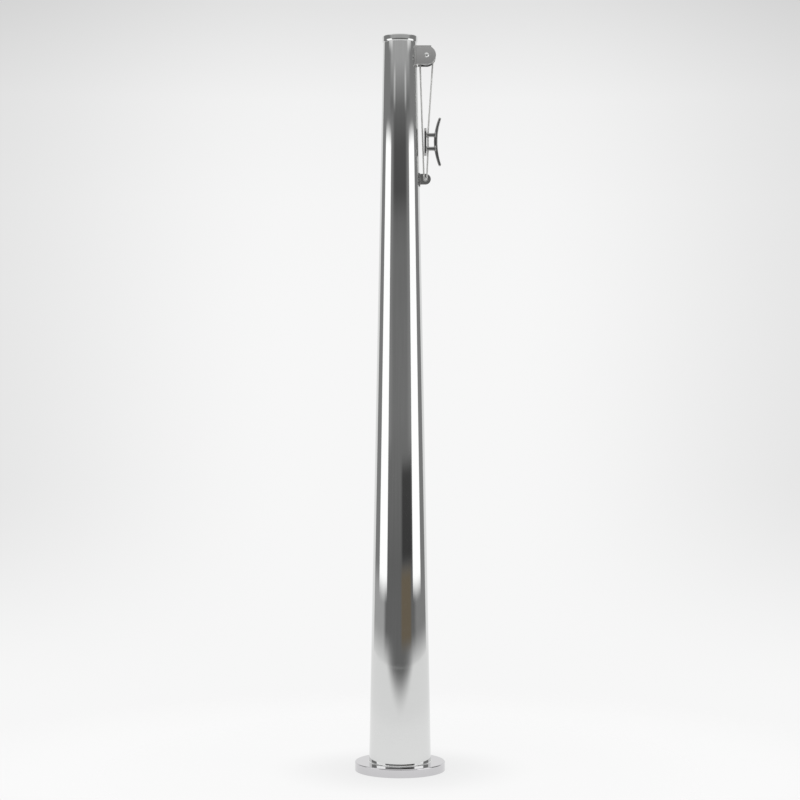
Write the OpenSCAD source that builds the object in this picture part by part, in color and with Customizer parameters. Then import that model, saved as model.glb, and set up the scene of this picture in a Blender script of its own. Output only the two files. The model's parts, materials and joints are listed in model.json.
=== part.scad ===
// Tapered display flagpole with a halyard, a horn cleat and two cord brackets.
// Origin at the centre of the flange's underside, +Z up, fittings towards +X. Millimetres.

/* [Base] */
// Diameter of the base flange
flange_d = 270; // [220:1:340]
// Thickness of the base flange
flange_t = 26; // [20:1:40]
// Radius of the flange's rounded top edge
flange_round = 3; // [1:0.5:9]
// Leg of the polished weld round the pole's foot
weld = 3; // [2:0.5:8]
// Circle of the tapped fixing holes in the underside
fixing_pcd = 200; // [130:1:230]
// Diameter of a tapped fixing hole
fixing_d = 14; // [8:0.5:18]
// Depth of a tapped fixing hole
fixing_depth = 18; // [10:1:19]

/* [Pole] */
// Outer diameter of the pole at its foot
foot_d = 185.5; // [150:0.5:210]
// Outer diameter of the pole under its cap
top_d = 101; // [80:1:130]
// Length of the pole tube
pole_len = 2152; // [1600:1:3000]
// Wall of the pole tube
pole_wall = 5; // [3:0.5:8]

/* [Top cap] */
// Height of the cap
cap_h = 20; // [14:0.5:30]
// Radius of the cap's upper edge
cap_round = 3; // [2:0.5:7]
// Radius of the cap's belly, below its widest ring
cap_belly_round = 9; // [8:0.5:20]
// Height of the cap's widest ring above the pole
cap_belly_z = 6.5; // [4:0.5:9]

/* [Halyard] */
// Diameter of the halyard
cord_d = 5; // [4:0.25:6]
// Running gap between the cord and what guides it
cord_gap = 0.3; // [0.2:0.05:0.5]

/* [Upper bracket] */
// Drop from the top of the pole tube to the top plate
truck_drop = 10; // [4:0.5:60]
// Distance of the inner fall from the pole's side, at the pole's top
truck_fall_gap = 9; // [8:0.5:20]
// Width of the bracket over both cheeks
truck_w = 50; // [40:1:60]
// How far a cheek's round end reaches past the cord
cheek_margin = 5.5; // [5:0.5:10]
// Thickness of the cheeks
cheek_t = 5; // [3:0.5:7]
// Thickness of the top plate
web_t = 4; // [3:0.5:5]
// How far the top plate reaches past the pin
web_reach = 14; // [8:0.5:20]
// Diameter of the upper pin
truck_pin_d = 10; // [8:0.5:12]
// Pitch diameter of the sheave, at the cord's centre
sheave_pitch_d = 40; // [34:0.5:60]
// Width of the sheave
sheave_w = 14; // [10:0.5:18]
// Thickness of the saddles on the pole
saddle_t = 3; // [2:0.5:5]

/* [Cleat] */
// Drop from the upper pin to the cleat's middle
cleat_drop = 257; // [150:1:500]
// Distance of the threaded fall from the pole's side, at the cleat
cleat_fall_gap = 27.7; // [25:0.1:36]
// Length over both horns
horn_span = 146; // [120:1:170]
// Length of the cleat's base plate
cleat_base_len = 84; // [70:1:100]
// Width of the cleat's base plate
cleat_base_w = 26; // [20:1:36]

/* [Lower bracket] */
// Drop from the cleat's middle to the lower pin
low_drop = 111; // [100:1:300]
// Distance of the inner fall from the pole's side, at the lower pin
low_fall_gap = 13.5; // [9:0.5:20]
// Radius of the lower cheek's round end
low_round = 16.5; // [12:0.5:22]
// Diameter of the lower pin
low_pin_d = 3; // [2.5:0.1:6]

/* [Hidden] */
$fn = 96;

// Stock that a cut takes with it past a face
cut = 1;

// Pole
pole_z0 = flange_t;
pole_z1 = pole_z0 + pole_len;
taper = (foot_d - top_d) / 2 / pole_len;
function pole_r(z) = foot_d / 2 - taper * (z - pole_z0);

weld_land = 0.2;
// The belly starts at a rim just inside the pole's edge, so the cap always seats on the tube
cap_rim_gap = 0.4;
cap_belly_x = top_d / 2 - cap_rim_gap - sqrt(pow(cap_belly_round, 2) - pow(cap_belly_z, 2));
cap_r = cap_belly_x + cap_belly_round;
spigot_h = 12;
spigot_gap = 0.3;

// Upper bracket
web_rise = 1;
truck_round = sheave_pitch_d / 2 + cord_d / 2 + cheek_margin;
truck_z = pole_z1 - truck_drop - web_rise - truck_round;
truck_reach = top_d / 2 + truck_fall_gap + sheave_pitch_d / 2;
web_top_z = truck_z + truck_round + web_rise;
web_low_z = web_top_z - web_t;
cheek_y = truck_w / 2 - cheek_t;
pin_gap = 0.1;
running_gap = 0.05;
pin_end = 1;
pin_head_d = 15;
pin_head_h = 4.5;
nut_af = 16;
nut_h = 7;
spacer_gap = 0.4;
spacer_wall = 3;
spacer_d = truck_pin_d + 2 * spacer_wall;
spacer_len = cheek_y - sheave_w / 2 - spacer_gap;
saddle_lap = 3;

// Sheave
groove_r = cord_d / 2 + cord_gap;
sheave_r = sheave_pitch_d / 2;

// Cleat, from its back to its horns
cleat_z = truck_z - cleat_drop;
cleat_fall_x = pole_r(cleat_z) + cleat_fall_gap;
leg_hole_r = cord_d / 2 + cord_gap;
leg_t = 12;
leg_w = 16;
leg_root = 1;
base_corner = cleat_base_w / 2 - 1;
nose_over = 0.25;
base_gap = 0.65;
base_fall_gap = 2;
base_x1 = cleat_fall_x - cord_d / 2 - base_fall_gap;
horn_t = 9;
horn_w = 16;
horn_arc_r = 200;
horn_reach = 23;
horn_x = cleat_fall_x + horn_reach;
window_skin = 0.5;
window_x1 = horn_x - horn_t / 2 - window_skin;
window_h = 29;
window_round = 6;
body_h = window_h + 2 * leg_t;

// Lower bracket
low_z = cleat_z - low_drop;
low_pin_gap = 0.2;
low_side_gap = 0.7;
low_pitch_r = low_pin_d / 2 + low_pin_gap + cord_d / 2;
low_reach = pole_r(low_z) + low_fall_gap + low_pitch_r;
low_cheek_y = cord_d / 2 + low_side_gap;
low_cheek_t = 5;
low_head_d = 8;
low_head_h = 2;
low_washer_d = 10;
low_washer_h = 1;
low_pin_front = low_cheek_y + low_washer_h;
low_nut_af = 7;
low_nut_h = 3;
low_saddle_w = 28;
low_saddle_below = 24;
low_saddle_above = 17;

// Halyard: two arcs and two falls in the plane y = 0
upper_c = [truck_reach, truck_z];
lower_c = [low_reach, low_z];
fall_top = [cleat_fall_x, cleat_z + body_h / 2];
fall_low = [cleat_fall_x, cleat_z - body_h / 2];
function heading(a, b) = atan2(b[1] - a[1], b[0] - a[0]);
// Angle of the outward normal of the line that touches circle a, then circle b
function touch(a, ra, b, rb, side) = heading(a, b) + side * acos((ra - rb) / norm(b - a));
function on_circle(c, r, a) = c + r * [cos(a), sin(a)];
left_a = touch(upper_c, sheave_r, lower_c, low_pitch_r, -1);
right_top_a = touch(upper_c, sheave_r, fall_top, 0, 1);
right_low_a = touch(fall_low, 0, lower_c, low_pitch_r, 1);
inner_top = on_circle(upper_c, sheave_r, left_a);
inner_low = on_circle(lower_c, low_pitch_r, left_a);
function inner_fall_x(z) = lerp(inner_low[0], inner_top[0], (z - inner_low[1]) / (inner_top[1] - inner_low[1]));
base_x0 = inner_fall_x(cleat_z - cleat_base_len / 2) + cord_d / 2 + base_gap;
cleat_t = base_x1 - base_x0;
// The nose's arc is over half the plate's thickness, so it meets the plate's faces at an edge
nose_r = cleat_t / 2 + nose_over;
arc_steps = 20;
low_steps = 12;
cord_sides = 10;
function lerp(a, b, t) = a + (b - a) * t;
// Over the sheave, down through the cleat, round the lower pin and back up
halyard_path = concat(
    [for (i = [0:arc_steps]) on_circle(upper_c, sheave_r, lerp(left_a + 360, right_top_a, i / arc_steps))],
    [fall_top, fall_low],
    [for (i = [0:low_steps]) on_circle(lower_c, low_pitch_r, lerp(right_low_a, left_a, i / low_steps))]);

// A solid with the pole's taper between two heights, larger than the pole by a margin
module pole_solid(z0, z1, more) {
    translate([0, 0, z0]) cylinder(h = z1 - z0, r1 = pole_r(z0) + more, r2 = pole_r(z1) + more);
}

// An outline in X and Z, made a plate that starts at y0
module side_plate(y0, t) {
    translate([0, y0 + t, 0]) rotate([90, 0, 0]) linear_extrude(t) children();
}

// Shapes along the axis of a pin at (x, z): local +Z points to -Y
module on_pin(c) {
    translate([c[0], 0, c[1]]) rotate([90, 0, 0]) children();
}

module round_rect(w, h, r) {
    translate([r, 0]) square([w - 2 * r, h]);
    translate([0, r]) square([w, h - 2 * r]);
    for (x = [r, w - r], y = [r, h - r]) translate([x, y]) circle(r);
}

module base_flange() color("gainsboro") difference() {
    rotate_extrude() {
        square([flange_d / 2 - flange_round, flange_t]);
        square([flange_d / 2, flange_t - flange_round]);
        translate([flange_d / 2 - flange_round, flange_t - flange_round]) circle(flange_round);
    }
    for (a = [45:90:315]) rotate(a) translate([fixing_pcd / 2, 0, -cut])
        cylinder(h = fixing_depth + cut, d = fixing_d);
}

// A ring with a hollow face that runs from the flange up to the pole
module base_weld() color("silver") difference() {
    translate([0, 0, flange_t]) rotate_extrude() translate([foot_d / 2, 0]) difference() {
        translate([-weld, 0]) square([2 * weld, weld + weld_land]);
        translate([weld, weld + weld_land]) circle(weld);
    }
    pole_solid(pole_z0 - cut, pole_z0 + 2 * weld, 0);
}

module pole_tube() color("silver") difference() {
    pole_solid(pole_z0, pole_z1, 0);
    pole_solid(pole_z0 - cut, pole_z1 + cut, -pole_wall);
}

// Cap with a rounded belly and a spigot that drops into the tube
module top_cap() color("silver") translate([0, 0, pole_z1]) {
    rotate_extrude() intersection() {
        square([cap_r, cap_h]);
        union() {
            square([cap_belly_x, cap_h]);
            translate([cap_belly_x, cap_belly_z]) circle(cap_belly_round);
            translate([0, cap_belly_z]) square([cap_r, cap_h - cap_belly_z - cap_round]);
            translate([0, cap_belly_z]) square([cap_r - cap_round, cap_h - cap_belly_z]);
            translate([cap_r - cap_round, cap_h - cap_round]) circle(cap_round);
        }
    }
    translate([0, 0, -spigot_h]) cylinder(h = spigot_h + cut, r = top_d / 2 - pole_wall - spigot_gap);
}

// A strip of the pole's own curve, wrapped over its +X side
module saddle(z0, z1, w) intersection() {
    difference() {
        pole_solid(z0, z1, saddle_t);
        pole_solid(z0 - cut, z1 + cut, 0);
    }
    translate([0, -w / 2, z0 - cut]) cube([foot_d, w, z1 - z0 + 2 * cut]);
}

module truck_saddle() color("silver")
    saddle(truck_z - truck_round, web_top_z, truck_w + 2 * saddle_lap);

module truck_cheek(y0) color("gray") difference() {
    side_plate(y0, cheek_t) difference() {
        union() {
            translate([truck_reach, truck_z]) circle(truck_round);
            translate([0, truck_z - truck_round]) square([truck_reach, 2 * truck_round]);
        }
        translate([0, web_low_z]) square([2 * truck_reach, truck_round]);
    }
    pole_solid(truck_z - 2 * truck_round, web_top_z + cut, saddle_t);
    on_pin(upper_c) cylinder(h = 2 * truck_w, r = truck_pin_d / 2 + pin_gap, center = true);
}

module truck_cheek_front() truck_cheek(-truck_w / 2);

module truck_cheek_rear() truck_cheek(truck_w / 2 - cheek_t);

module truck_top_plate() color("gray") difference() {
    translate([0, -truck_w / 2, web_low_z]) cube([truck_reach + web_reach, truck_w, web_t]);
    pole_solid(web_low_z - cut, web_top_z + cut, saddle_t);
}

module dome(d, h) {
    ball_r = (pow(d / 2, 2) + h * h) / (2 * h);
    intersection() {
        translate([0, 0, h - ball_r]) sphere(ball_r);
        cylinder(h = h, d = d);
    }
}

module truck_pin() color("gainsboro") on_pin(upper_c) {
    translate([0, 0, -truck_w / 2 - nut_h - pin_end])
        cylinder(h = truck_w + nut_h + pin_end, d = truck_pin_d);
    translate([0, 0, truck_w / 2]) dome(pin_head_d, pin_head_h);
}

module hex_nut(af, h, bore_d) difference() {
    cylinder(h = h, d = af / cos(30), $fn = 6);
    translate([0, 0, -cut]) cylinder(h = h + 2 * cut, d = bore_d);
}

module truck_pin_nut() color("silver") on_pin(upper_c)
    translate([0, 0, -truck_w / 2 - nut_h]) hex_nut(nut_af, nut_h, truck_pin_d + 2 * pin_gap);

module truck_spacer(y0) color("silver") on_pin(upper_c) translate([0, 0, y0]) difference() {
    cylinder(h = spacer_len, d = spacer_d);
    translate([0, 0, -cut]) cylinder(h = spacer_len + 2 * cut, r = truck_pin_d / 2 + pin_gap);
}

module truck_spacer_front() truck_spacer(sheave_w / 2 + spacer_gap);

module truck_spacer_rear() truck_spacer(-cheek_y);

module sheave() color("dimgray") on_pin(upper_c) difference() {
    cylinder(h = sheave_w, r = sheave_r, center = true);
    cylinder(h = sheave_w + 2 * cut, r = truck_pin_d / 2 + running_gap, center = true);
    rotate_extrude() translate([sheave_r, 0]) circle(groove_r);
}

// The cord's tube: one ring of points at each point of the closed path
rings = len(halyard_path);
function unit(v) = v / norm(v);
function along(i) = unit(halyard_path[(i + 1) % rings] - halyard_path[(i + rings - 1) % rings]);
function ring_point(p, t, a) = [p[0] - t[1] * cos(a), sin(a) * cord_d / 2, p[1] + t[0] * cos(a)];
function at(i, k) = (i % rings) * cord_sides + k % cord_sides;
module halyard() color("lightgray") polyhedron(
    points = [for (i = [0:rings - 1], k = [0:cord_sides - 1])
        ring_point(halyard_path[i], along(i) * cord_d / 2, 360 * k / cord_sides)],
    faces = [for (i = [0:rings - 1], k = [0:cord_sides - 1])
        [at(i, k), at(i + 1, k), at(i + 1, k + 1), at(i, k + 1)]]);

// A casting: base plate, two legs that the fall is threaded through, and two horns on one arc
module cleat() color("dimgray") translate([0, 0, cleat_z]) difference() {
    union() {
        intersection() {
            side_plate(-cleat_base_w / 2, cleat_base_w) intersection() {
                translate([base_x0, -cleat_base_len / 2]) square([cleat_t, cleat_base_len]);
                union() {
                    translate([base_x0 - cut, -cleat_base_len / 2 - cut])
                        square([cleat_t + 2 * cut, cleat_base_len + cut - nose_r]);
                    translate([base_x0 + cleat_t / 2, cleat_base_len / 2 - nose_r]) circle(nose_r);
                }
            }
            translate([base_x0 - cut, 0, 0]) rotate([90, 0, 90]) linear_extrude(cleat_t + 2 * cut)
                translate([-cleat_base_w / 2, -cleat_base_len / 2])
                    round_rect(cleat_base_w, cleat_base_len, base_corner);
        }
        side_plate(-leg_w / 2, leg_w) difference() {
            translate([base_x1 - leg_root, -body_h / 2]) square([horn_x - base_x1 + leg_root, body_h]);
            translate([base_x1, -window_h / 2]) round_rect(window_x1 - base_x1, window_h, window_round);
        }
        horn_a = asin((horn_span / 2 - horn_t / 2) / horn_arc_r);
        translate([horn_x + horn_arc_r, 0, 0]) rotate([90, 0, 0]) {
            rotate([0, 0, 180 - horn_a]) rotate_extrude(angle = 2 * horn_a)
                translate([horn_arc_r, 0]) horn_section();
            for (s = [-1, 1]) rotate([0, 0, 180 + s * horn_a]) translate([horn_arc_r, 0, 0]) horn_tip();
        }
    }
    translate([cleat_fall_x, 0, -body_h]) cylinder(h = 2 * body_h, r = leg_hole_r);
}

module horn_section() {
    square([horn_t, horn_w - horn_t], center = true);
    for (s = [-1, 1]) translate([0, s * (horn_w - horn_t) / 2]) circle(d = horn_t);
}

module horn_tip() {
    cylinder(h = horn_w - horn_t, d = horn_t, center = true);
    for (s = [-1, 1]) translate([0, 0, s * (horn_w - horn_t) / 2]) sphere(d = horn_t);
}

module lower_saddle() color("silver")
    saddle(low_z - low_saddle_below, low_z + low_saddle_above, low_saddle_w);

module lower_cheek() color("dimgray") difference() {
    side_plate(low_cheek_y, low_cheek_t) {
        translate([low_reach, low_z]) circle(low_round);
        translate([0, low_z - low_round]) square([low_reach, 2 * low_round]);
    }
    pole_solid(low_z - 2 * low_round, low_z + 2 * low_round, saddle_t);
    on_pin(lower_c) cylinder(h = 4 * low_cheek_t, r = low_pin_d / 2 + pin_gap, center = true);
}

module lower_pin() color("gainsboro") on_pin(lower_c) {
    translate([0, 0, -low_cheek_y - low_cheek_t - low_nut_h - pin_end])
        cylinder(h = low_cheek_y + low_cheek_t + low_nut_h + pin_end + low_pin_front, d = low_pin_d);
    translate([0, 0, low_pin_front]) dome(low_head_d, low_head_h);
}

module lower_pin_washer() color("silver") on_pin(lower_c) translate([0, 0, low_cheek_y]) difference() {
    cylinder(h = low_washer_h, d = low_washer_d);
    translate([0, 0, -cut]) cylinder(h = low_washer_h + 2 * cut, r = low_pin_d / 2 + pin_gap);
}

module lower_pin_nut() color("silver") on_pin(lower_c)
    translate([0, 0, -low_cheek_y - low_cheek_t - low_nut_h])
        hex_nut(low_nut_af, low_nut_h, low_pin_d + 2 * pin_gap);

base_flange();
base_weld();
pole_tube();
top_cap();
truck_saddle();
truck_cheek_front();
truck_cheek_rear();
truck_top_plate();
truck_pin();
truck_pin_nut();
truck_spacer_front();
truck_spacer_rear();
sheave();
halyard();
cleat();
lower_saddle();
lower_cheek();
lower_pin();
lower_pin_washer();
lower_pin_nut();
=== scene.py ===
import json
import math

import bmesh
import bpy
from mathutils import Matrix, Vector


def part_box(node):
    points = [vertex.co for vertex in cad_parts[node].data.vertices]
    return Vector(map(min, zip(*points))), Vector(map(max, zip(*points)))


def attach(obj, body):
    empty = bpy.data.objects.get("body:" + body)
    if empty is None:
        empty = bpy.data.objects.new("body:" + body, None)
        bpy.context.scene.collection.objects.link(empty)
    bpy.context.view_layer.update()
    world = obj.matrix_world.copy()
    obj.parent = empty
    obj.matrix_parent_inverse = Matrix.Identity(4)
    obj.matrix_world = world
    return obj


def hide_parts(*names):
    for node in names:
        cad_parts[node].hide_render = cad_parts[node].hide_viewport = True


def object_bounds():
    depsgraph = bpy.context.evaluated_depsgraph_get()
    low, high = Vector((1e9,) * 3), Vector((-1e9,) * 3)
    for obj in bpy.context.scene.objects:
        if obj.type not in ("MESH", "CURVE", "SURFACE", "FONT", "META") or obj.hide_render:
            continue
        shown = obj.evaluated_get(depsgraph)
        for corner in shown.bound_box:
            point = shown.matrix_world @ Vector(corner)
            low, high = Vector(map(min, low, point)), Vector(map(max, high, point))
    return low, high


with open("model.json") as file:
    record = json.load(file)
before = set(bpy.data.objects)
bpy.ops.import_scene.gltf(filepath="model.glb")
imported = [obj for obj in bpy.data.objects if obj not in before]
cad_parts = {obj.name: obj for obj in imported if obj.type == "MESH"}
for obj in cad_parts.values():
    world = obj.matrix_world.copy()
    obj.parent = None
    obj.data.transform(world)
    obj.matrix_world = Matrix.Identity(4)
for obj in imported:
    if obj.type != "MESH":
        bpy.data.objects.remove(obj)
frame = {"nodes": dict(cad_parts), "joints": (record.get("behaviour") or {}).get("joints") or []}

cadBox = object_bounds()
cadNodes = frame["nodes"]
upperPin = Vector(frame["joints"][0]["pos_m"])


class Socket:  # one node output; expressions on it add the nodes they need
    def __init__(self, tree, out=None):
        self.tree = tree
        self.out = out

    def node(self, kind, settings, inputs, out=0):
        made = self.tree.nodes.new(kind)
        for name, value in settings.items():
            if name == "stops":
                fillRamp(made.color_ramp, value)
            else:
                setattr(made, name, value)
        for name, value in inputs.items():
            if isinstance(value, Socket):
                self.tree.links.new(value.out, made.inputs[name])
            else:
                made.inputs[name].default_value = value
        return Socket(self.tree, made.outputs[out] if made.outputs else None)

    def pick(self, name):
        return Socket(self.tree, self.out.node.outputs[name])

    def maths(self, operation, a, b=0.0):
        return self.node("ShaderNodeMath", {"operation": operation}, {0: a, 1: b})

    def __add__(self, other):
        return self.maths("ADD", self, other)

    __radd__ = __add__

    def __sub__(self, other):
        return self.maths("SUBTRACT", self, other)

    def __rsub__(self, other):
        return self.maths("SUBTRACT", other, self)

    def __mul__(self, other):
        return self.maths("MULTIPLY", self, other)

    __rmul__ = __mul__

    def __truediv__(self, other):
        return self.maths("DIVIDE", self, other)

    def __pow__(self, other):
        return self.maths("POWER", self, other)


def fillRamp(ramp, stops):
    while len(ramp.elements) > 1:
        ramp.elements.remove(ramp.elements[-1])
    for index, (place, level) in enumerate(stops):
        element = ramp.elements[0] if index == 0 else ramp.elements.new(place)
        element.position = place
        element.color = (level, level, level, 1)


def rise(value, low, high):  # 0 below low, 1 above high, smooth between
    return value.node("ShaderNodeMapRange", {"interpolation_type": "SMOOTHSTEP"},
                      {"Value": value, "From Min": low, "From Max": high})


def band(value, low, high, soft):  # 1 between low and high, with soft ends
    return rise(value, low - soft, low + soft) * (1 - rise(value, high - soft, high + soft))


def blendNumbers(share, a, b):
    return share.node("ShaderNodeMix", {"data_type": "FLOAT"}, {0: share, 2: a, 3: b})


def blendColours(share, a, b):
    return share.node("ShaderNodeMix", {"data_type": "RGBA"}, {0: share, 6: a, 7: b}, out=2)


def greyOf(level):
    return level.node("ShaderNodeCombineColor", {}, {0: level, 1: level, 2: level})


def split(vector):
    return vector.node("ShaderNodeSeparateXYZ", {}, {"Vector": vector})


def lengthAcross(vector, mask):  # length of a vector, with the axes that are 0 in the mask left out
    flat = vector.node("ShaderNodeVectorMath", {"operation": "MULTIPLY"}, {0: vector, 1: mask})
    return flat.node("ShaderNodeVectorMath", {"operation": "LENGTH"}, {0: flat}, out="Value")


def noise(coord, scale, detail=3.0, rough=0.5, stretch=(1, 1, 1)):
    placed = coord.node("ShaderNodeMapping", {}, {"Vector": coord, "Scale": stretch})
    return placed.node("ShaderNodeTexNoise", {},
                       {"Vector": placed, "Scale": scale, "Detail": detail, "Roughness": rough})


def bump(height, distance, strength=1.0, under=None):
    inputs = {"Height": height, "Distance": distance, "Strength": strength}
    if under:
        inputs["Normal"] = under
    return height.node("ShaderNodeBump", {}, inputs)


def newMaterial(name, paint, coordName="Object"):
    material = bpy.data.materials.new(name)
    material.use_nodes = True
    material.node_tree.nodes.clear()
    coord = Socket(material.node_tree).node("ShaderNodeTexCoord", {}, {}).pick(coordName)
    shader = coord.node("ShaderNodeBsdfPrincipled", {}, paint(coord))
    coord.node("ShaderNodeOutputMaterial", {}, {"Surface": shader})
    return material


# Every setting whose name ends in Noise holds the arguments of noise() after the first.
polish = {"light": (0.74, 0.745, 0.74, 1), "dark": (0.69, 0.695, 0.69, 1), "rough": 0.035,
          "haze": 0.03, "hazeRange": (0.45, 0.75), "waves": 0.00005, "scratches": 0.0000012,
          "cloudNoise": (4.5, 2), "hazeNoise": (26, 4), "waveNoise": (7, 1, 0.4, (1, 1, 0.35)),
          "hairNoise": (900, 2, 0.6, (0.06, 0.06, 1))}


def paintPolished(coord):  # mirror steel: slow waves, faint haze and hairlines round the tube
    cloud = noise(coord, *polish["cloudNoise"])
    haze = noise(coord, *polish["hazeNoise"])
    hairs = noise(coord, *polish["hairNoise"])
    waves = bump(noise(coord, *polish["waveNoise"]), polish["waves"])
    return {"Base Color": blendColours(cloud, polish["dark"], polish["light"]),
            "Metallic": 1.0,
            "Roughness": polish["rough"] + polish["haze"] * rise(haze, *polish["hazeRange"]),
            "Normal": bump(hairs, polish["scratches"], 1.0, waves)}


flangeShadeTint = (0.9, 0.885, 0.91, 1)


def paintFlange(coord):  # the same polish with painted shade: a cooler, slightly darker tint that dims the flange's reflection
    inputs = paintPolished(coord)
    # painted shade: the base colour is multiplied by the darker tint so the flange mirrors more dimly
    inputs["Base Color"] = coord.node(
        "ShaderNodeMix", {"data_type": "RGBA", "blend_type": "MULTIPLY"},
        {0: 1.0, 6: inputs["Base Color"], 7: flangeShadeTint}, out=2)
    return inputs


satin = {"light": (0.8, 0.8, 0.79, 1), "dark": (0.72, 0.72, 0.715, 1), "rough": 0.07,
         "spread": 0.06, "grain": 0.000001, "grainNoise": (420, 3, 0.6, (0.05, 1, 1)),
         "smudgeNoise": (38, 4)}


def paintSatin(coord):  # brushed steel plate, with its grain along the plate
    grain = noise(coord, *satin["grainNoise"])
    smudge = noise(coord, *satin["smudgeNoise"])
    return {"Base Color": blendColours(smudge, satin["dark"], satin["light"]),
            "Metallic": 1.0,
            "Roughness": satin["rough"] + satin["spread"] * grain,
            "Normal": bump(grain, satin["grain"])}


turned = {"light": (0.62, 0.625, 0.63, 1), "dark": (0.38, 0.385, 0.39, 1), "rings": 9000,
          "ringDepth": 0.000008, "rough": 0.24, "spread": 0.14, "wearNoise": (300, 4)}


def paintTurned(coord):  # lathe rings about the upper pin's axis
    placed = coord.node("ShaderNodeVectorMath", {"operation": "SUBTRACT"},
                        {0: coord, 1: tuple(upperPin)})
    radius = lengthAcross(placed, (1, 0, 1))
    rings = radius.maths("SINE", radius * turned["rings"]) * 0.5 + 0.5
    wear = noise(coord, *turned["wearNoise"])
    return {"Base Color": blendColours(wear, turned["dark"], turned["light"]),
            "Metallic": 1.0,
            "Roughness": turned["rough"] + turned["spread"] * wear,
            "Normal": bump(rings, turned["ringDepth"])}


casting = {"light": (0.5, 0.5, 0.495, 1), "dark": (0.32, 0.32, 0.315, 1), "rough": 0.09,
           "spread": 0.1, "shadeRange": (0.35, 0.62), "dimples": 0.00008, "pores": 0.000004,
           "strength": 0.5, "dimpleNoise": (130, 3), "poreNoise": (700, 5, 0.65)}


def paintCasting(coord):  # a polished casting: soft dimples, darker and duller in its pores
    dimples = bump(noise(coord, *casting["dimpleNoise"]), casting["dimples"], casting["strength"])
    pores = noise(coord, *casting["poreNoise"])
    shade = rise(pores, *casting["shadeRange"])
    return {"Base Color": blendColours(shade, casting["dark"], casting["light"]),
            "Metallic": 1.0,
            "Roughness": casting["rough"] + casting["spread"] * (1 - shade),
            "Normal": bump(pores, casting["pores"], casting["strength"], dimples)}


braid = {"diameter": 0.005, "carriers": 6, "turnLength": 0.02, "relief": 0.00032,
         "strand": 1.94, "dipLow": 0.45, "dipRise": 0.55, "around": 36, "alongStep": 0.00042}
cordFinish = {"light": (0.74, 0.74, 0.72, 1), "dark": (0.4, 0.4, 0.39, 1), "yarns": 5,
              "valleyShadeRange": (0.15, 0.8), "twistLow": 0.7, "twistShade": 0.3, "fuzzLow": 0.8,
              "fuzzShade": 0.4, "rough": 0.78, "spread": 0.15, "yarnDepth": 0.00006,
              "yarnStrength": 0.7, "sheen": 0.25, "sheenRough": 0.5, "fuzzNoise": (60, 3)}


def paintBraid(coord):  # the UV map gives turns along the cord in u and round it in v
    axes = split(coord)
    along, around = axes.pick("X"), axes.pick("Y")
    waves = 2 * math.pi * braid["carriers"] * cordFinish["yarns"]
    left = axes.maths("SINE", (along + around) * waves)
    right = axes.maths("SINE", (along - around) * waves)
    twist = (left * right) * 0.5 + 0.5
    depth = axes.node("ShaderNodeAttribute", {"attribute_name": "relief"}, {}, out="Fac")
    fuzz = noise(coord, *cordFinish["fuzzNoise"])
    # painted shade: the cord darkens in the valleys between strands, read from the relief attribute,
    # and in the grooves between yarns; fuzz adds random tone
    lift = (rise(depth, *cordFinish["valleyShadeRange"])
            * (cordFinish["twistLow"] + cordFinish["twistShade"] * twist)
            * (cordFinish["fuzzLow"] + cordFinish["fuzzShade"] * fuzz))
    return {"Base Color": blendColours(lift, cordFinish["dark"], cordFinish["light"]),
            "Roughness": cordFinish["rough"] + cordFinish["spread"] * fuzz,
            "Normal": bump(twist, cordFinish["yarnDepth"], cordFinish["yarnStrength"]),
            "Sheen Weight": cordFinish["sheen"],
            "Sheen Roughness": cordFinish["sheenRough"]}


materials = {
    "polished_steel": newMaterial("polishedSteel", paintPolished),
    "flange_steel_shaded": newMaterial("flangeSteelShaded", paintFlange),
    "satin_steel": newMaterial("satinSteel", paintSatin),
    "sheave_metal": newMaterial("turnedSheave", paintTurned),
    "cast_metal": newMaterial("castCleat", paintCasting),
    "cord": newMaterial("braidedCord", paintBraid, "UV"),
}
print("finishes made")


def meshFrom(name, shape):
    mesh = bpy.data.meshes.new(name)
    shape.to_mesh(mesh)
    shape.free()
    return mesh


def addObject(name, data):
    made = bpy.data.objects.new(name, data)
    bpy.context.scene.collection.objects.link(made)
    return made


def placePiece(name, mesh, slotName, body, *replaced):
    piece = addObject(name, mesh)
    mesh.materials.clear()
    mesh.materials.append(materials[slotName])
    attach(piece, body)
    if replaced:
        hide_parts(*replaced)
    return piece


def evaluatedMesh(piece, *modifiers):  # the mesh after the modifiers, which are (type, settings)
    for kind, settings in modifiers:
        modifier = piece.modifiers.new(kind, kind)
        for key, value in settings.items():
            setattr(modifier, key, value)
    bpy.context.view_layer.update()
    graph = bpy.context.evaluated_depsgraph_get()
    mesh = bpy.data.meshes.new_from_object(piece.evaluated_get(graph))
    bpy.data.objects.remove(piece)
    return mesh


def bevelEdges(shape, edges, width, segments, **more):
    bmesh.ops.bevel(shape, geom=edges, offset=width, offset_type="OFFSET", affect="EDGES",
                    segments=segments, profile=0.5, material=-1, **more)


edgeBreak = {"width": 0.0006, "thinWidth": 0.0004, "segments": 3, "sharp": math.radians(25),
             "flat": math.radians(0.4), "weld": 0.000002}


def breakEdges(node, name, slotName, body, width=edgeBreak["width"]):
    shape = bmesh.new()
    shape.from_mesh(cadNodes[node].data)
    bmesh.ops.remove_doubles(shape, verts=shape.verts, dist=edgeBreak["weld"])
    bmesh.ops.dissolve_limit(shape, angle_limit=edgeBreak["flat"], verts=shape.verts,
                             edges=shape.edges, use_dissolve_boundaries=False)
    sharp = [e for e in shape.edges if e.is_manifold and e.calc_face_angle(0) > edgeBreak["sharp"]]
    bevelEdges(shape, sharp, width, edgeBreak["segments"], clamp_overlap=True)
    for face in shape.faces:
        face.smooth = True
    piece = placePiece(name, meshFrom(name, shape), slotName, body, node)
    weighted = piece.modifiers.new("weightedNormals", "WEIGHTED_NORMAL")
    weighted.keep_sharp = True


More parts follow.
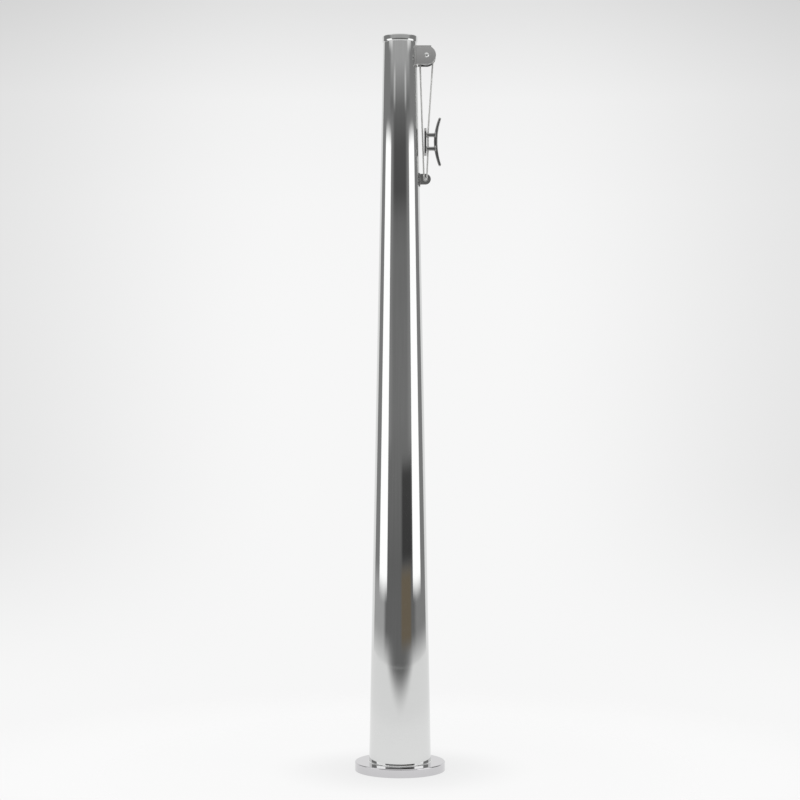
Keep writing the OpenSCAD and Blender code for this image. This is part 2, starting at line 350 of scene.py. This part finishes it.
for node in ("truck_cheek_front", "truck_cheek_rear", "truck_top_plate", "lower_cheek"):
    breakEdges(node, node + "_plate", "satin_steel", "pole")
for node in ("truck_saddle", "lower_saddle"):
    breakEdges(node, node + "_strap", "satin_steel", "pole", edgeBreak["thinWidth"])
for node in ("truck_pin_nut", "lower_pin_nut"):
    breakEdges(node, node + "_hex", "polished_steel", "pole", edgeBreak["thinWidth"])
print("plates and nuts made")


halyard = {"fallX": 0.0840066, "fallTop": 1.9085, "fallLow": 1.8555, "lowPitch": 0.0042,
           "topSteps": 90, "lowSteps": 40}


def touchAngle(centreA, radiusA, centreB, radiusB, side):
    line = centreB - centreA
    return math.atan2(line.z, line.x) + side * math.acos((radiusA - radiusB) / line.length)


def arc(centre, radius, start, sweep, steps):
    angles = [start + sweep * i / steps for i in range(steps + 1)]
    return [Vector((centre.x + radius * math.cos(angle), 0, centre.z + radius * math.sin(angle)))
            for angle in angles]


def loopRoute():  # corners and arcs of the closed loop, as a dense list of points
    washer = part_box("lower_pin_washer")
    lowPin = Vector(((washer[0].x + washer[1].x) / 2, 0, (washer[0].z + washer[1].z) / 2))
    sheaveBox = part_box("sheave")
    pitch, lowPitch = (sheaveBox[1].x - sheaveBox[0].x) / 2, halyard["lowPitch"]
    fallTop = Vector((halyard["fallX"], 0, halyard["fallTop"]))
    fallLow = Vector((halyard["fallX"], 0, halyard["fallLow"]))
    inner = touchAngle(upperPin, pitch, lowPin, lowPitch, -1)
    outerTop = touchAngle(upperPin, pitch, fallTop, 0, 1)
    outerLow = touchAngle(fallLow, 0, lowPin, lowPitch, 1)
    top = arc(upperPin, pitch, inner + 2 * math.pi, outerTop - inner - 2 * math.pi,
              halyard["topSteps"])
    low = arc(lowPin, lowPitch, outerLow, inner - outerLow, halyard["lowSteps"])
    return top + [fallTop, fallLow] + low


def evenPoints(route, step):  # the closed route as evenly spaced points, and its length
    corners = route + [route[0]]
    lengths = [0.0]
    for a, b in zip(corners, corners[1:]):
        lengths.append(lengths[-1] + (b - a).length)
    count = round(lengths[-1] / step)
    points = []
    spot = 0
    for i in range(count):
        along = lengths[-1] * i / count
        while lengths[spot + 1] < along:
            spot += 1
        share = (along - lengths[spot]) / (lengths[spot + 1] - lengths[spot])
        points.append(corners[spot].lerp(corners[spot + 1], share))
    return points, lengths[-1]


def braidHeight(along, around):  # 1 on the crown of a strand, 0 in the valleys between strands
    left = (around + along) * braid["carriers"]
    right = (around - along) * braid["carriers"]
    leftPart, rightPart = left % 1, right % 1
    leftOnTop = (math.floor(left) + math.floor(right)) % 2 == 0
    across, lengthwise = (leftPart, rightPart) if leftOnTop else (rightPart, leftPart)
    crown = math.sqrt(max(0.0, 1 - (braid["strand"] * (across - 0.5)) ** 2))
    return crown * (braid["dipLow"] + braid["dipRise"] * math.sin(math.pi * lengthwise))


def buildHalyard():
    points, length = evenPoints(loopRoute(), braid["alongStep"])
    rings = len(points)
    turns = round(length / braid["turnLength"])
    shape = bmesh.new()
    uvLayer = shape.loops.layers.uv.new("UVMap")
    relief = shape.verts.layers.float.new("relief")
    bmesh.ops.create_grid(shape, x_segments=rings, y_segments=braid["around"], size=0.5)
    for face in shape.faces:
        face.smooth = True
        for corner in face.loops:
            corner[uvLayer].uv = ((corner.vert.co.x + 0.5) * turns, corner.vert.co.y + 0.5)
    for vert in shape.verts:
        along, around = vert.co.x + 0.5, vert.co.y + 0.5
        ring = round(along * rings) % rings
        forward = (points[(ring + 1) % rings] - points[ring - 1]).normalized()
        outward = Vector((-forward.z, 0, forward.x))
        lift = braidHeight(along * turns, around)
        radius = braid["diameter"] / 2 - braid["relief"] * (1 - lift)
        turn = 2 * math.pi * around
        away = outward * math.cos(turn) + Vector((0, 1, 0)) * math.sin(turn)
        vert.co = points[ring] + away * radius
        # the crown height, kept also for the painted shade in the cord's valleys
        vert[relief] = lift
    bmesh.ops.remove_doubles(shape, verts=shape.verts, dist=0.00001)
    bmesh.ops.recalc_face_normals(shape, faces=shape.faces)
    placePiece("halyard_braid", meshFrom("halyard_braid", shape), "cord", "pole", "halyard")
    print(f"halyard made, {length:.3f} m round")


buildHalyard()


cleat = {"baseLong": 0.084, "baseWide": 0.026, "baseGap": 0.0045, "baseCorner": 0.012,
         "cornerSteps": 10, "baseEdge": 0.0009, "edgeSteps": 4,
         "windowHalf": 0.0145, "legThick": 0.012, "legHalf": (0.006, 0.0074), "legRoot": 0.003,
         "legFlare": 1.6, "legWiden": 1.25, "flarePower": 5, "legSteps": 16, "legSides": 24,
         "hornMiddle": 0.0058, "hornTip": 0.0042, "hornWide": 0.008, "hornTipWide": 0.0066,
         "hornReach": 0.023, "arcRadius": 0.2, "hornPower": 1.1, "hornSteps": 28, "hornSides": 32,
         "endSteps": 6, "square": 0.5, "voxel": 0.0007, "smoothing": 3, "smoothShare": 0.5,
         "holeRadius": 0.0028, "holeSides": 32, "drillLong": 0.09}


# A station is (centre, turn about Y, half thickness, half width).
def sweptBar(shape, stations, segments):
    def placed(station):
        centre, turn, thick, wide = station
        return (Matrix.Translation(centre) @ Matrix.Rotation(turn, 4, "Y")
                @ Matrix.Diagonal((thick, wide, 1, 1)))
    made = bmesh.ops.create_circle(shape, cap_ends=True, radius=1, segments=segments)
    for vert in made["verts"]:  # a rounded square rather than a circle
        for axis in (0, 1):
            vert.co[axis] = math.copysign(abs(vert.co[axis]) ** cleat["square"], vert.co[axis])
    bmesh.ops.transform(shape, matrix=placed(stations[0]), verts=made["verts"])
    firstCap = face = made["verts"][0].link_faces[0]
    for before, after in zip(stations, stations[1:]):
        grown = bmesh.ops.extrude_face_region(shape, geom=[face])["geom"]
        if face != firstCap:
            bmesh.ops.delete(shape, geom=[face], context="FACES_ONLY")
        face = next(part for part in grown if isinstance(part, bmesh.types.BMFace))
        step = placed(after) @ placed(before).inverted()
        bmesh.ops.transform(shape, matrix=step, verts=face.verts)


def roundEnds(stations):  # domed ends, as rings that shrink along the end's direction
    def cap(end, way):
        centre, turn, thick, wide = end
        along = Matrix.Rotation(turn, 3, "Y") @ Vector((0, 0, way))
        rings = []
        for i in range(1, cleat["endSteps"]):
            tilt = math.pi / 2 * i / cleat["endSteps"]
            shrink = math.cos(tilt)
            rings.append((centre + along * thick * math.sin(tilt), turn, thick * shrink,
                          wide - thick * (1 - shrink)))
        return rings
    return cap(stations[0], -1)[::-1] + stations + cap(stations[-1], 1)


def hornStations(middle, reach):
    centreX = halyard["fallX"] + cleat["hornReach"] + cleat["arcRadius"]
    sweep = math.asin((reach - cleat["hornTip"]) / cleat["arcRadius"])
    stations = []
    for i in range(-cleat["hornSteps"], cleat["hornSteps"] + 1):
        share = i / cleat["hornSteps"]
        angle = share * sweep
        spot = Vector((centreX - cleat["arcRadius"] * math.cos(angle), 0,
                       middle + cleat["arcRadius"] * math.sin(angle)))
        ease = abs(share) ** cleat["hornPower"]
        thick = cleat["hornMiddle"] + (cleat["hornTip"] - cleat["hornMiddle"]) * ease
        wide = cleat["hornWide"] + (cleat["hornTipWide"] - cleat["hornWide"]) * ease
        stations.append((spot, angle, thick, wide))
    return roundEnds(stations)


def legStations(baseLow, legZ):  # flared where the leg meets the base plate and the horns
    start, end = baseLow + cleat["legRoot"], halyard["fallX"] + cleat["hornReach"]
    thick, wide = cleat["legHalf"]
    stations = []
    for i in range(cleat["legSteps"] + 1):
        share = i / cleat["legSteps"]
        flare = 1 + (cleat["legFlare"] - 1) * abs(2 * share - 1) ** cleat["flarePower"]
        spot = Vector((start + (end - start) * share, 0, legZ))
        stations.append((spot, math.pi / 2, thick * flare, wide * min(flare, cleat["legWiden"])))
    return stations


def addBasePlate(shape, baseLow, middle):
    baseHigh = halyard["fallX"] - cleat["baseGap"]
    plate = bmesh.ops.create_cube(shape, size=1)
    bmesh.ops.scale(shape, vec=(baseHigh - baseLow, cleat["baseWide"], cleat["baseLong"]),
                    verts=plate["verts"])
    bmesh.ops.translate(shape, vec=((baseLow + baseHigh) / 2, 0, middle), verts=plate["verts"])
    corners = [e for e in shape.edges
               if abs((e.verts[0].co - e.verts[1].co).normalized().x) > 0.9]
    bevelEdges(shape, corners, cleat["baseCorner"], cleat["cornerSteps"])
    rim = [e for e in shape.edges if e.is_manifold and e.calc_face_angle(0) > 1]
    bevelEdges(shape, rim, cleat["baseEdge"], cleat["edgeSteps"])


def buildCleat():
    low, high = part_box("cleat")
    middle = (low.z + high.z) / 2
    shape = bmesh.new()
    addBasePlate(shape, low.x, middle)
    for side in (-1, 1):
        legZ = middle + side * (cleat["windowHalf"] + cleat["legThick"] / 2)
        sweptBar(shape, legStations(low.x, legZ), cleat["legSides"])
    sweptBar(shape, hornStations(middle, (high.z - low.z) / 2), cleat["hornSides"])
    bmesh.ops.recalc_face_normals(shape, faces=shape.faces)
    blended = evaluatedMesh(
        addObject("cleatRough", meshFrom("cleatRough", shape)),
        ("REMESH", {"mode": "VOXEL", "voxel_size": cleat["voxel"]}),
        ("SMOOTH", {"factor": cleat["smoothShare"], "iterations": cleat["smoothing"]}))
    # the hole that the cord is threaded through
    hole = bmesh.new()
    bmesh.ops.create_cone(hole, cap_ends=True, segments=cleat["holeSides"],
                          radius1=cleat["holeRadius"], radius2=cleat["holeRadius"],
                          depth=cleat["drillLong"],
                          matrix=Matrix.Translation((halyard["fallX"], 0, middle)))
    drill = addObject("cleatDrill", meshFrom("cleatDrill", hole))
    cut = {"operation": "DIFFERENCE", "object": drill, "solver": "EXACT"}
    mesh = evaluatedMesh(addObject("cleatBlank", blended), ("BOOLEAN", cut))
    bpy.data.objects.remove(drill)
    for polygon in mesh.polygons:
        polygon.use_smooth = True
    placePiece("cleat_casting", mesh, "cast_metal", "pole", "cleat")
    print("cleat made,", len(mesh.polygons), "faces")


buildCleat()


cadFinishes = {"pole_tube": "polished_steel", "base_flange": "flange_steel_shaded",
               "base_weld": "polished_steel", "top_cap": "polished_steel",
               "truck_pin": "polished_steel", "lower_pin": "polished_steel",
               "lower_pin_washer": "polished_steel", "truck_spacer_front": "satin_steel",
               "truck_spacer_rear": "satin_steel", "sheave": "sheave_metal"}
for node, slotName in cadFinishes.items():
    for materialSlot in cadNodes[node].material_slots:
        materialSlot.material = materials[slotName]
print("CAD nodes painted")


stageFloor = {"radius": 1.7, "solidTo": 0.55, "fadeTo": 1.65, "glow": 0.86, "tone": 0.1,
              "rough": 0.9, "drop": 0.0006, "paintedShadow": 0.09, "paintedShadowRange": (0.13, 0.42)}


def paintFloor(coord):  # the floor that shows, with a painted shadow darkening its glow round the flange, and fading out at its rim
    distance = lengthAcross(coord, (1, 1, 0))
    tone = stageFloor["tone"]
    # painted shadow: the floor's glow is dimmed round the flange in place of a cast shadow
    paintedShadow = stageFloor["paintedShadow"] * (1 - rise(distance, *stageFloor["paintedShadowRange"]))
    return {"Base Color": (tone, tone, tone, 1), "Roughness": stageFloor["rough"],
            "Specular IOR Level": 0.0,
            "Emission Color": greyOf((1 - paintedShadow) * stageFloor["glow"]), "Emission Strength": 1.0,
            "Alpha": 1 - rise(distance, stageFloor["solidTo"], stageFloor["fadeTo"])}


def discShape(radius, drop):
    disc = bmesh.new()
    bmesh.ops.create_circle(disc, cap_ends=True, radius=radius, segments=128,
                            matrix=Matrix.Translation((0, 0, cadBox[0].z - drop)))
    return disc


def buildFloor():
    mesh = meshFrom("studioFloor", discShape(stageFloor["radius"], stageFloor["drop"]))
    mesh.materials.append(newMaterial("paleFloor", paintFloor))
    floor = addObject("studioFloor", mesh)


# The room that the polish mirrors. Turns are degrees from the front, positive towards +X, and a
# side is a turn without its sign. Heights are metres. A third number softens both ends.
wall = {"radius": 3.2, "to": 130, "top": 4.6, "columns": 104, "mottleNoise": (2.2, 3),
        "mottleLow": 0.9, "mottle": 0.2,
        "beside": {"tone": 0.27, "side": (30, 50), "height": (1.0, 2.56, 0.08)},
        "flank": {"tone": 0.25, "lowLeft": 0.43, "lowRight": 0.27, "side": (56, 74),
                  "turn": (-10, 10), "height": (0.3, 0.45)},
        "foot": {"height": (-0.06, 0.16)},
        "streaks": {"gain": 0.3, "side": (30, 41, 4), "height": (2.6, 2.76, 0.05)},
        "panels": {"tone": 1.0, "side": (52, 80, 5), "height": (2.82, 2.92)},
        "shadow": {"depth": 0.65, "turn": (8, 52, 6), "height": (0.47, 0.93, 0.06)},
        "warm": {"colour": (0.17, 0.14, 0.1, 1), "turn": (6, 46, 5), "height": (0.1, 0.44, 0.05)}}
room = {"back": 0.86, "floor": 0.89, "floorDrop": 0.0012, "shade": 0.73, "shadeFrom": 1.35,
        "shadeSpread": 0.00053, "mottleNoise": (1.5, 2), "mottleLow": 0.95, "mottle": 0.1}


def wallTones():  # tone of the dark wall by its height: a dark beam, then lit panels above it
    levels = ((0, 0.16), (0.45, 0.15), (1.2, 0.21), (1.9, 0.195), (2.05, 0.17), (2.2, 0.092),
              (2.42, 0.1), (2.6, 0.17), (2.8, 0.44), (3.2, 0.5), (wall["top"], 0.85))
    return [(height / wall["top"], level) for height, level in levels]


def glowOnly(colour):
    return {"Base Color": (0, 0, 0, 1), "Roughness": 1.0, "Specular IOR Level": 0.0,
            "Emission Color": colour, "Emission Strength": 1.0}


def bearing(x, y):  # degrees round the pole: 0 towards -Y, 90 towards +X
    return x.maths("ARCTAN2", x, y * -1) * (180 / math.pi)


def frontShade(distance, side):  # how far the floor darkens in front, less so towards the sides
    return rise(distance - side * side * room["shadeSpread"], room["shadeFrom"], wall["radius"])


def paintWall(coord):
    axes = split(coord)
    height = axes.pick("Z")
    turn = bearing(axes.pick("X"), axes.pick("Y"))
    side = turn.maths("ABSOLUTE", turn)
    tone = height.node("ShaderNodeValToRGB", {"stops": wallTones()}, {"Fac": height / wall["top"]})
    mottle = noise(coord, *wall["mottleNoise"])

    part = wall["beside"]
    share = rise(side, *part["side"]) * band(height, *part["height"])
    tone = blendNumbers(share, tone, part["tone"]) * (wall["mottleLow"] + wall["mottle"] * mottle)

    part = wall["flank"]
    lowTone = blendNumbers(rise(turn, *part["turn"]), part["lowLeft"], part["lowRight"])
    flank = blendNumbers(rise(height, *part["height"]), lowTone, part["tone"])
    tone = blendNumbers(rise(side, *part["side"]), tone, flank)

    foot = (1 - rise(height, *wall["foot"]["height"])) * (1 - frontShade(wall["radius"], side))
    tone = blendNumbers(foot, tone, room["floor"])

    part = wall["streaks"]
    streaks = part["gain"] * band(side, *part["side"]) * band(height, *part["height"])
    part = wall["panels"]
    panels = band(side, *part["side"]) * rise(height, *part["height"])
    tone = blendNumbers(panels, tone + streaks, part["tone"])

    part = wall["shadow"]
    tone = tone * (1 - part["depth"] * band(turn, *part["turn"]) * band(height, *part["height"]))
    part = wall["warm"]
    warm = band(turn, *part["turn"]) * band(height, *part["height"])
    return glowOnly(blendColours(warm, greyOf(tone), part["colour"]))


def stagePiece(name, shape, finish):  # seen only in reflections
    mesh = meshFrom(name, shape)
    mesh.materials.append(finish)
    piece = addObject(name, mesh)
    piece.visible_camera = False
    piece.visible_shadow = False


def buildWall():
    sheet = bmesh.new()
    bmesh.ops.create_grid(sheet, x_segments=wall["columns"], y_segments=1, size=0.5)
    for vert in sheet.verts:
        angle = math.radians(2 * wall["to"] * vert.co.x)
        vert.co = (math.sin(angle) * wall["radius"], -math.cos(angle) * wall["radius"],
                   cadBox[0].z + wall["top"] * (vert.co.y + 0.5))
    stagePiece("roomWall", sheet, newMaterial("roomWall", paintWall))


def paintRoomFloor(coord):  # pale near the object, shaded towards the dark wall
    axes = split(coord)
    x, y = axes.pick("X"), axes.pick("Y")
    distance = (x * x + y * y) ** 0.5
    turn = bearing(x, y)
    shade = room["shade"] * frontShade(distance, turn.maths("ABSOLUTE", turn))
    mottle = room["mottleLow"] + room["mottle"] * noise(coord, *room["mottleNoise"])
    return glowOnly(greyOf(room["floor"] - shade * mottle))


def buildRoomFloor():
    disc = discShape(wall["radius"], room["floorDrop"])
    stagePiece("roomFloor", disc, newMaterial("roomFloor", paintRoomFloor))


softBox = {"from": 54, "to": 97, "low": 0.32, "high": 2.4, "away": 2.5, "glow": 1.4, "edge": 0.03}


def paintSoftBox(coord):  # bright in the middle, with soft edges; the UV map spans the box
    axes = split(coord)
    edge = softBox["edge"]
    ends = (edge, 1 - edge, edge)
    inputs = glowOnly((1, 1, 1, 1))
    inputs["Emission Strength"] = softBox["glow"]
    inputs["Alpha"] = band(axes.pick("X"), *ends) * band(axes.pick("Y"), *ends)
    return inputs


def buildSoftBoxes():
    finish = newMaterial("softBoxCloth", paintSoftBox, "UV")
    middle = math.radians((softBox["from"] + softBox["to"]) / 2)
    half = math.radians((softBox["to"] - softBox["from"]) / 2)
    width = 2 * softBox["away"] * math.tan(half)
    for side, name in ((-1, "softBoxLeft"), (1, "softBoxRight")):
        panel = bmesh.new()
        panel.loops.layers.uv.new("UVMap")
        bmesh.ops.create_grid(panel, x_segments=1, y_segments=1, size=0.5, calc_uvs=True)
        bmesh.ops.scale(panel, vec=(width, softBox["high"] - softBox["low"], 1), verts=panel.verts)
        bmesh.ops.rotate(panel, matrix=Matrix.Rotation(math.pi / 2, 3, "X"), verts=panel.verts)
        bmesh.ops.rotate(panel, matrix=Matrix.Rotation(side * middle, 3, "Z"), verts=panel.verts)
        spot = (side * math.sin(middle) * softBox["away"], -math.cos(middle) * softBox["away"],
                (softBox["low"] + softBox["high"]) / 2)
        bmesh.ops.translate(panel, vec=spot, verts=panel.verts)
        stagePiece(name, panel, finish)


# Degrees of a ray: its elevation, and for corner its distance in turn from the nearest of four sides.
backdrop = {"low": -12, "high": 18, "horizon": (-1.5, 0.5), "corner": (2, 14),
            "cornerShade": 0.17, "cornerRise": (-9, -2)}


def backdropTones():  # tone of the backdrop by elevation
    levels = ((-12, 0.93), (-6, 0.93), (3, 0.93), (6, 0.92), (9, 0.89), (10.5, 0.83),
              (11.8, 0.77), (18, 0.75))
    span = backdrop["high"] - backdrop["low"]
    return [((angle - backdrop["low"]) / span, level) for angle, level in levels]


def buildWorld():
    world = bpy.data.worlds.new("studio")
    bpy.context.scene.world = world
    world.use_nodes = True
    world.node_tree.nodes.clear()
    ray = Socket(world.node_tree).node("ShaderNodeTexCoord", {}, {}).pick("Generated")
    axes = split(ray)
    height = ray.maths("ARCSINE", axes.pick("Z")) * (180 / math.pi)
    turn = bearing(axes.pick("X"), axes.pick("Y"))
    mirrored = greyOf(blendNumbers(rise(height, *backdrop["horizon"]), room["floor"], room["back"]))

    # the pale backdrop that the camera sees
    quarter = ray.maths("ABSOLUTE", ray.maths("WRAP", turn + 45, 90) - 45)
    corner = rise(quarter, *backdrop["corner"])
    place = (height - backdrop["low"]) / (backdrop["high"] - backdrop["low"])
    sky = ray.node("ShaderNodeValToRGB", {"stops": backdropTones()}, {"Fac": place})
    shown = sky * (1 - backdrop["cornerShade"] * corner * rise(height, *backdrop["cornerRise"]))
    direct = ray.node("ShaderNodeLightPath", {}, {}).pick("Is Camera Ray")
    colour = blendColours(direct, mirrored, greyOf(shown))
    background = ray.node("ShaderNodeBackground", {}, {"Color": colour, "Strength": 1.0})
    ray.node("ShaderNodeOutputWorld", {}, {"Surface": background})


overhead = {"place": (-0.8, -1.6, 4.2), "aim": (0, 0, 1.2), "size": 2.5, "power": 40}


def buildLight():
    light = bpy.data.lights.new("overheadSoft", "AREA")
    light.shape = "DISK"
    light.size = overhead["size"]
    light.energy = overhead["power"]
    lamp = addObject("overheadSoft", light)
    lamp.location = overhead["place"]
    aim = Vector(overhead["aim"]) - Vector(overhead["place"])
    lamp.rotation_euler = aim.to_track_quat("-Z", "Y").to_euler()
    lamp.visible_camera = False
    lamp.visible_glossy = False


view = {"lens": 85, "sensor": 36, "away": 5.667, "height": 1.108}


def buildCamera():
    data = bpy.data.cameras.new("camera")
    data.lens = view["lens"]
    data.sensor_width = view["sensor"]
    camera = addObject("camera", data)
    camera.location = (0, -view["away"], view["height"])
    camera.rotation_euler = (math.pi / 2, 0, 0)
    bpy.context.scene.camera = camera


buildFloor()
buildRoomFloor()
buildWall()
buildWorld()
buildSoftBoxes()
buildLight()
buildCamera()
bpy.context.scene.view_settings.view_transform = "Standard"
print("floor, studio and camera made")

bpy.context.view_layer.update()
